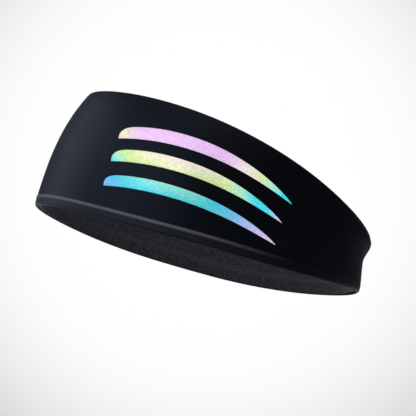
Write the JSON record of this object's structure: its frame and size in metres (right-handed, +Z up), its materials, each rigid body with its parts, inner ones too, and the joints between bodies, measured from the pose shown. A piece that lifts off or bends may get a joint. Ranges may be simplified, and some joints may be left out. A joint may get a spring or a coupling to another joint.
{
  "type": "sports headband",
  "caption": "Wide double-layer knit sports headband, tall over the forehead and narrow at the nape, with a smooth shell, a brushed lining and slim reflective streaks on one side.",
  "frame": {"origin": "centre of the band's outline at the height of its lowest edge", "axes": "+Z up as worn, +Y towards the nape, -Y towards the forehead, +X towards the wearer's left, the side with the streaks"},
  "size_m": [0.141, 0.2005, 0.0775],
  "materials": {
    "shell_knit": "smooth dense knit, slight sheen",
    "lining_fleece": "short brushed nap, matt",
    "seam_thread": "filament thread, semi-matt",
    "streak_film_upper": "iridescent reflective film, pink to mint",
    "streak_film_middle": "iridescent reflective film, lime to cyan",
    "streak_film_lower": "iridescent reflective film, cyan to lilac"
  },
  "bodies": {
    "root": {"outer_shell": "shell_knit", "lining": "lining_fleece", "lower_hem_overlock": "seam_thread", "upper_hem_overlock": "seam_thread", "shell_nape_overlock": "seam_thread", "lining_nape_overlock": "seam_thread", "streak_upper": "streak_film_upper", "streak_middle": "streak_film_middle", "streak_lower": "streak_film_lower"}
  },
  "joints": []
}
